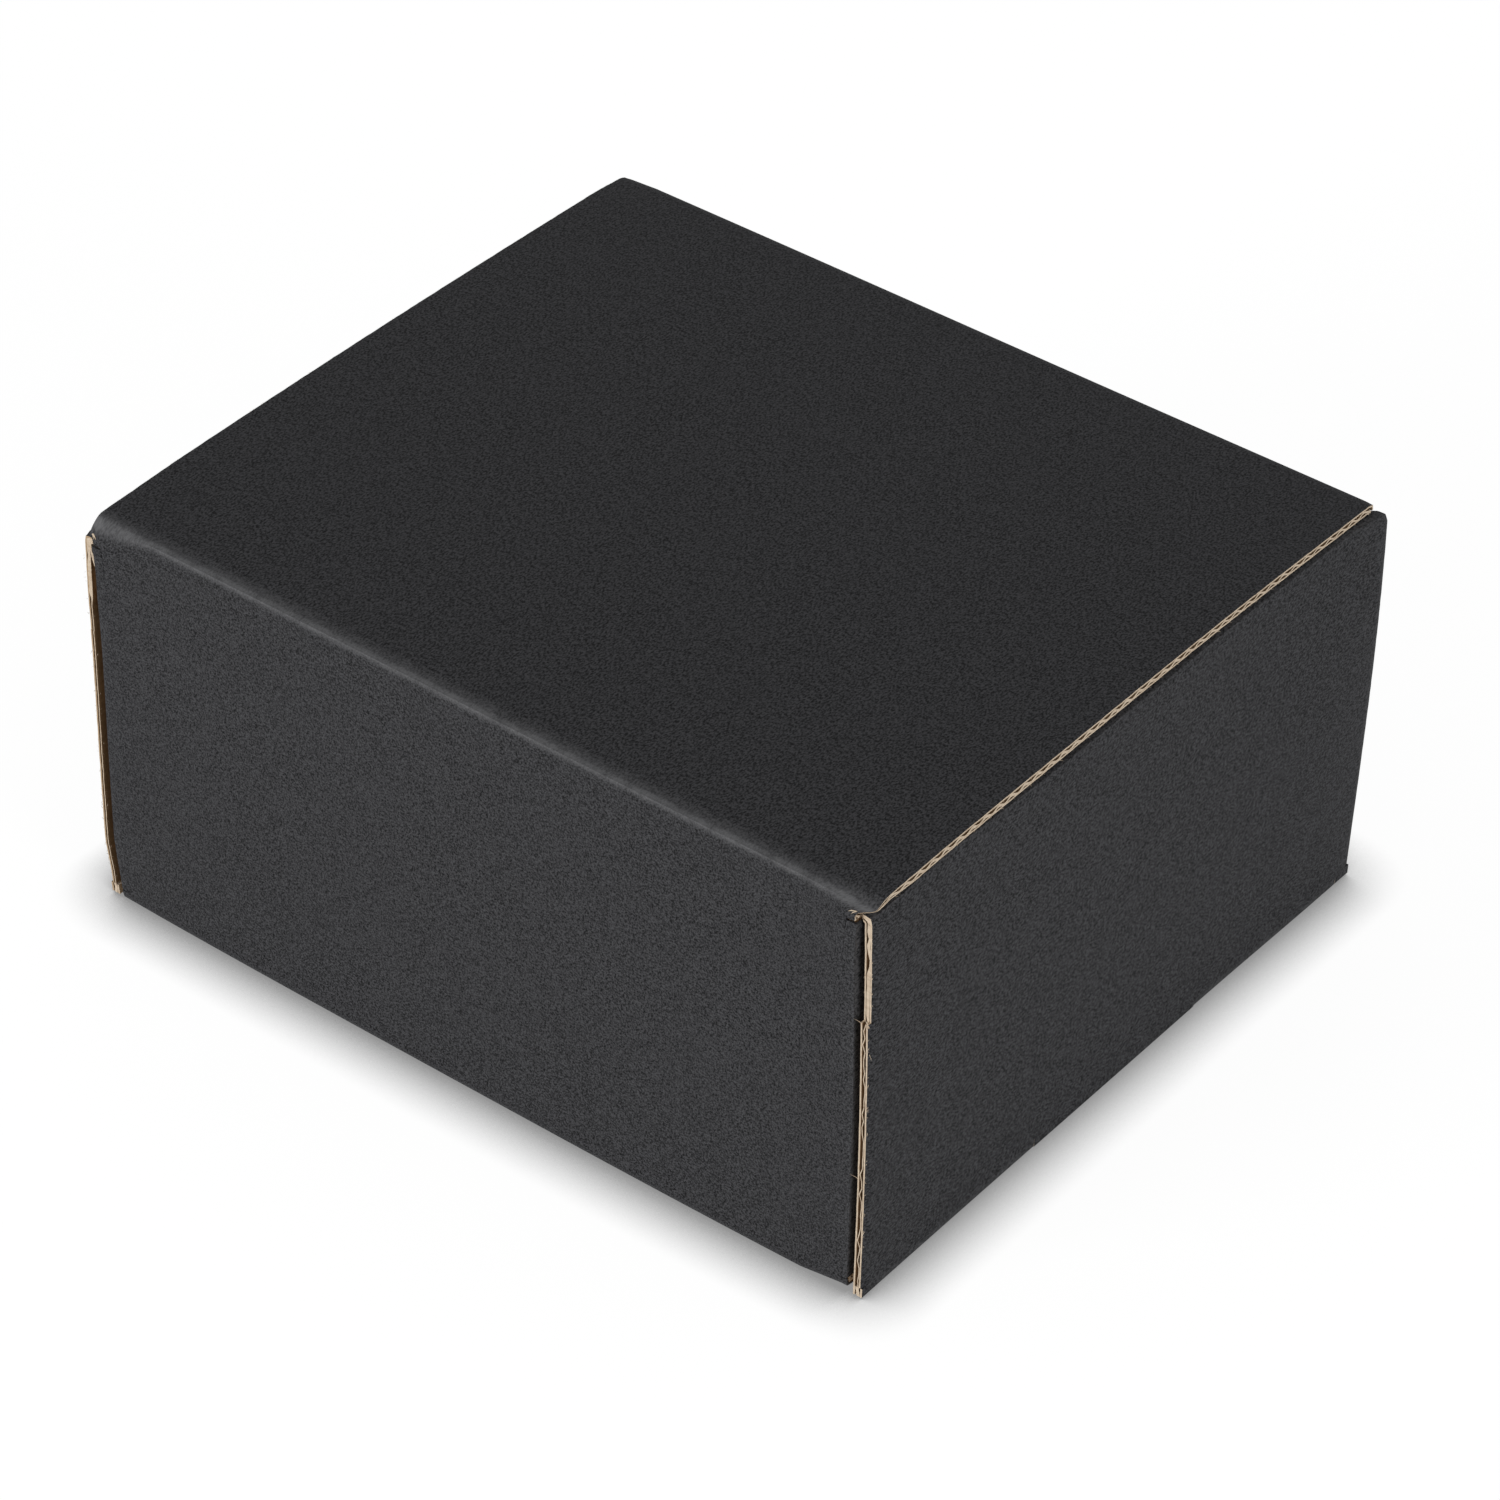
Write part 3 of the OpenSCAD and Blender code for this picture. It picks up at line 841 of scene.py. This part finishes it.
# Materials
class Nodes:
    """Short ways to add the nodes of one material."""

    def __init__(self, name):
        self.material = bpy.data.materials.new(name)
        self.material.use_nodes = True
        self.tree = self.material.node_tree
        self.shader = self.tree.nodes["Principled BSDF"]

    def add(self, kind, links=(), **values):
        node = self.tree.nodes.new(kind)
        for key, value in values.items():
            setattr(node, key, value)
        for socket, source in links:
            if isinstance(source, bpy.types.NodeSocket):
                self.tree.links.new(source, node.inputs[socket])
            else:
                node.inputs[socket].default_value = source
        return node

    def place(self):
        found = self.add("ShaderNodeAttribute", attribute_name="sheet_place")
        return found.outputs["Vector"]

    def stretched(self, source, scale):
        return self.add("ShaderNodeVectorMath", [(0, source), (1, scale)], operation="MULTIPLY").outputs[0]

    def noise(self, source, scale, detail=2.0, roughness=0.5):
        links = [("Vector", source), ("Scale", scale), ("Detail", detail), ("Roughness", roughness)]
        return self.add("ShaderNodeTexNoise", links).outputs["Fac"]

    def between(self, source, low, high, to_low=0.0, to_high=1.0):
        links = [("Value", source), ("From Min", low), ("From Max", high),
                 ("To Min", to_low), ("To Max", to_high)]
        return self.add("ShaderNodeMapRange", links).outputs["Result"]

    def maths(self, operation, first, second):
        return self.add("ShaderNodeMath", [(0, first), (1, second)], operation=operation).outputs[0]

    def mixed(self, share, first, second):
        node = self.add("ShaderNodeMix", data_type="RGBA")
        for socket, source in ((0, share), (6, first), (7, second)):
            if isinstance(source, bpy.types.NodeSocket):
                self.tree.links.new(source, node.inputs[socket])
            else:
                node.inputs[socket].default_value = source
        return node.outputs[2]

    def bumped(self, height, distance, strength):
        links = [("Height", height), ("Distance", distance), ("Strength", strength)]
        return self.add("ShaderNodeBump", links).outputs["Normal"]

    def wire(self, socket, source):
        self.tree.links.new(source, self.shader.inputs[socket])


# Tones of the printed paper, and how blue each is
PRINT_DARK, PRINT_LIGHT = (0.004, 0.06), (0.074, 0.06)
# The rubbed tone is worn print and, on the hinge ridge, painted sheen and highlight
PRINT_MOTTLE, PRINT_FIBRE, PRINT_RUBBED_AND_LIT = (0.046, 0.08), (0.085, 0.04), (0.15, 0.03)


def grey(value, blueness=0.0):
    return (value, value, value * (1 + blueness), 1)


def black_paper():
    """Matt black printed paper: fine grain, faint mottling, fibres, rubbed creases and painted ridge sheen.
    """
    nodes = Nodes("black_printed_paper")
    place = nodes.place()
    grain = nodes.noise(nodes.stretched(place, (3400.0, 2050.0, 3400.0)), 1.0, 3.0, 0.6)
    mottle = nodes.noise(place, 70.0, 3.0)
    fibres = nodes.noise(nodes.stretched(place, (500.0, 2600.0, 1600.0)), 1.0, 2.0)
    tone = nodes.mixed(nodes.between(grain, 0.36, 0.64), grey(*PRINT_DARK), grey(*PRINT_LIGHT))
    tone = nodes.mixed(nodes.between(mottle, 0.25, 0.75, 0.0, 0.12), tone, grey(*PRINT_MOTTLE))
    tone = nodes.mixed(nodes.between(fibres, 0.6, 0.85, 0.0, 0.35), tone, grey(*PRINT_FIBRE))
    # Lighter tone along the creases: rubbed print, and on the hinge ridge painted sheen and highlight
    worn_and_lit = nodes.add("ShaderNodeAttribute", attribute_name="crease_wear_and_sheen").outputs["Fac"]
    patchy = nodes.noise(place, 260.0, 4.0, 0.65)
    rub_and_sheen = nodes.maths("MULTIPLY", worn_and_lit, nodes.between(patchy, 0.35, 0.6, 0.5, 1.0))
    rub_and_sheen = nodes.maths("MULTIPLY", rub_and_sheen, nodes.between(grain, 0.36, 0.64, 0.8, 1.15))
    tone = nodes.mixed(nodes.between(rub_and_sheen, 0.0, 1.0, 0.0, 0.95), tone, grey(*PRINT_RUBBED_AND_LIT))
    nodes.wire("Base Color", tone)
    nodes.wire("Roughness", nodes.between(grain, 0.3, 0.7, 0.62, 0.8))
    nodes.wire("Normal", nodes.bumped(grain, 0.00003, 0.3))
    nodes.shader.inputs["Specular IOR Level"].default_value = 0.06
    return nodes.material


def kraft_paper(name, light, dark, bump):
    """Plain brown recycled paper with fibres and flecks."""
    nodes = Nodes(name)
    place = nodes.place()
    fibres = nodes.noise(nodes.stretched(place, (300.0, 1500.0, 1500.0)), 1.0, 3.0, 0.6)
    grain = nodes.noise(place, 1100.0, 3.0, 0.6)
    cloud = nodes.noise(place, 120.0, 2.0)
    tone = nodes.mixed(nodes.between(fibres, 0.3, 0.7), dark, light)
    tone = nodes.mixed(nodes.between(cloud, 0.3, 0.7, 0.0, 0.5), tone, light)
    flecks = nodes.between(grain, 0.62, 0.74, 0.0, 0.5)
    tone = nodes.mixed(flecks, tone, tuple(0.45 * c for c in dark[:3]) + (1,))
    nodes.wire("Base Color", tone)
    nodes.wire("Normal", nodes.bumped(fibres, 0.00006, bump))
    nodes.shader.inputs["Roughness"].default_value = 0.9
    nodes.shader.inputs["Specular IOR Level"].default_value = 0.2
    return nodes.material


PAPERS = [
    black_paper(),
    kraft_paper("kraft_liner", (0.50, 0.37, 0.24, 1), (0.38, 0.26, 0.15, 1), 0.5),
    kraft_paper("brown_fluting", (0.32, 0.20, 0.10, 1), (0.20, 0.12, 0.06, 1), 0.5),
    kraft_paper("cut_edges", (0.70, 0.58, 0.44, 1), (0.50, 0.38, 0.27, 1), 0.6),
]


# Camera
FOCAL = 134.507
CAMERA_PLACE = Vector((422.304, -562.689, 565.795)) * MM
CAMERA_TARGET = Vector((4.897, -2.394, 30.179)) * MM
CAMERA_ROLL = math.radians(1.874)


def photo_camera():
    """Camera at the photograph's place, which is rolled a little."""
    data = bpy.data.cameras.new("photo_camera")
    data.lens, data.sensor_width = FOCAL, 36.0
    data.clip_start, data.clip_end = 0.01, 20.0
    camera = bpy.data.objects.new("photo_camera", data)
    bpy.context.scene.collection.objects.link(camera)
    ahead = (CAMERA_TARGET - CAMERA_PLACE).normalized()
    level = ahead.cross(Vector((0, 0, 1))).normalized()
    upright = level.cross(ahead)
    right = level * math.cos(CAMERA_ROLL) + upright * math.sin(CAMERA_ROLL)
    upright = right.cross(ahead)
    turn = Matrix((right, upright, -ahead)).transposed()
    camera.matrix_world = Matrix.Translation(CAMERA_PLACE) @ turn.to_4x4()
    bpy.context.scene.camera = camera


# Floor, world and lamps
AMBIENT = 0.36
FLOOR_SIZE = 6.0
FLOOR_DROP = 0.0002
# The floor's shadow as the camera sees it is painted: ambient occlusion within this reach darkens the
# floor's glow down to this depth
SHADOW_REACH = 0.0105
SHADOW_DEPTH = 0.3
SEEN_SHARE = 0.85
FLOOR_GLOW = 1.1
LAMP_SIZE = 0.8
LAMP_TARGET = (0, 0, 0.03)
# Name, place in metres and power in watts
LAMPS = (("left_softbox", (-0.7, -1.8, 0.4), 21.0), ("right_softbox", (1.9, -0.3, 0.42), 13.5))


def seen_rays(nodes):
    """1 for camera, glossy and transmission rays, which see the plain background."""
    path = nodes.new("ShaderNodeLightPath")
    return path.outputs["Is Camera Ray"], path.outputs["Is Glossy Ray"], path.outputs["Is Transmission Ray"]


def either(tree, sockets):
    total = sockets[0]
    for socket in sockets[1:]:
        node = tree.nodes.new("ShaderNodeMath")
        node.operation = "MAXIMUM"
        tree.links.new(total, node.inputs[0])
        tree.links.new(socket, node.inputs[1])
        total = node.outputs[0]
    return total


def white_world():
    world = bpy.data.worlds.new("studio")
    bpy.context.scene.world = world
    world.use_nodes = True
    tree = world.node_tree
    tree.nodes.clear()
    lit = tree.nodes.new("ShaderNodeBackground")
    lit.inputs["Strength"].default_value = AMBIENT
    seen = tree.nodes.new("ShaderNodeBackground")
    seen.inputs["Strength"].default_value = 1.0
    for background in (lit, seen):
        background.inputs["Color"].default_value = (1, 1, 1, 1)
    mix = tree.nodes.new("ShaderNodeMixShader")
    out = tree.nodes.new("ShaderNodeOutputWorld")
    tree.links.new(either(tree, seen_rays(tree.nodes)), mix.inputs["Fac"])
    tree.links.new(lit.outputs[0], mix.inputs[1])
    tree.links.new(seen.outputs[0], mix.inputs[2])
    tree.links.new(mix.outputs[0], out.inputs["Surface"])


def pale_floor():
    """White floor: its lit share keeps the box's shadow, and the glow the camera sees has a soft painted
    shadow close to the box.
    """
    data = bpy.data.meshes.new("floor")
    half = FLOOR_SIZE / 2
    corners = [(-half, -half), (half, -half), (half, half), (-half, half)]
    data.from_pydata([(x, y, -FLOOR_DROP) for x, y in corners], [], [(0, 1, 2, 3)])
    floor = bpy.data.objects.new("floor", data)
    bpy.context.scene.collection.objects.link(floor)
    material = bpy.data.materials.new("pale_floor")
    material.use_nodes = True
    tree = material.node_tree
    tree.nodes.clear()
    lit = tree.nodes.new("ShaderNodeBsdfDiffuse")
    lit.inputs["Color"].default_value = (0.9, 0.9, 0.9, 1)
    # Painted shadow: ambient occlusion near the box darkens the glow that the camera sees
    occlusion_shadow = tree.nodes.new("ShaderNodeAmbientOcclusion")
    occlusion_shadow.inputs["Distance"].default_value = SHADOW_REACH
    occlusion_shadow.samples = 8
    depth = tree.nodes.new("ShaderNodeMapRange")
    levels = {"From Min": 0.5, "From Max": 1.0, "To Min": SHADOW_DEPTH, "To Max": FLOOR_GLOW}
    for socket, value in levels.items():
        depth.inputs[socket].default_value = value
    seen = tree.nodes.new("ShaderNodeEmission")
    mix = tree.nodes.new("ShaderNodeMixShader")
    share = tree.nodes.new("ShaderNodeMath")
    share.operation = "MULTIPLY"
    share.inputs[1].default_value = SEEN_SHARE
    out = tree.nodes.new("ShaderNodeOutputMaterial")
    tree.links.new(occlusion_shadow.outputs["AO"], depth.inputs["Value"])
    tree.links.new(depth.outputs["Result"], seen.inputs["Strength"])
    tree.links.new(either(tree, seen_rays(tree.nodes)), share.inputs[0])
    tree.links.new(share.outputs[0], mix.inputs["Fac"])
    tree.links.new(lit.outputs[0], mix.inputs[1])
    tree.links.new(seen.outputs[0], mix.inputs[2])
    tree.links.new(mix.outputs[0], out.inputs["Surface"])
    data.materials.append(material)


def lamp(name, place, power):
    """Soft square lamp that faces the box."""
    data = bpy.data.lights.new(name, "AREA")
    data.shape, data.size, data.energy = "SQUARE", LAMP_SIZE, power
    light = bpy.data.objects.new(name, data)
    bpy.context.scene.collection.objects.link(light)
    light.location = place
    light.rotation_euler = (Vector(LAMP_TARGET) - Vector(place)).to_track_quat("-Z", "Y").to_euler()


def studio():
    white_world()
    pale_floor()
    for name, place, power in LAMPS:
        lamp(name, place, power)


# The object
studio()
photo_camera()

walls = base_and_walls()
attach(walls, "tray")
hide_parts("tray")
for name, sign, seed in (("side_wall_right", 1, 61), ("side_wall_left", -1, 81)):
    wall = side_wall(sign, seed).make(name)
    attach(wall, "tray")
    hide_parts("tray")

lid = lid_sheet().make("lid_sheet")
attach(lid, "lid")
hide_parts("lid")

crease = hinge_crease().make("hinge_crease")
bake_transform(crease)

bpy.context.scene.view_settings.view_transform = "Standard"
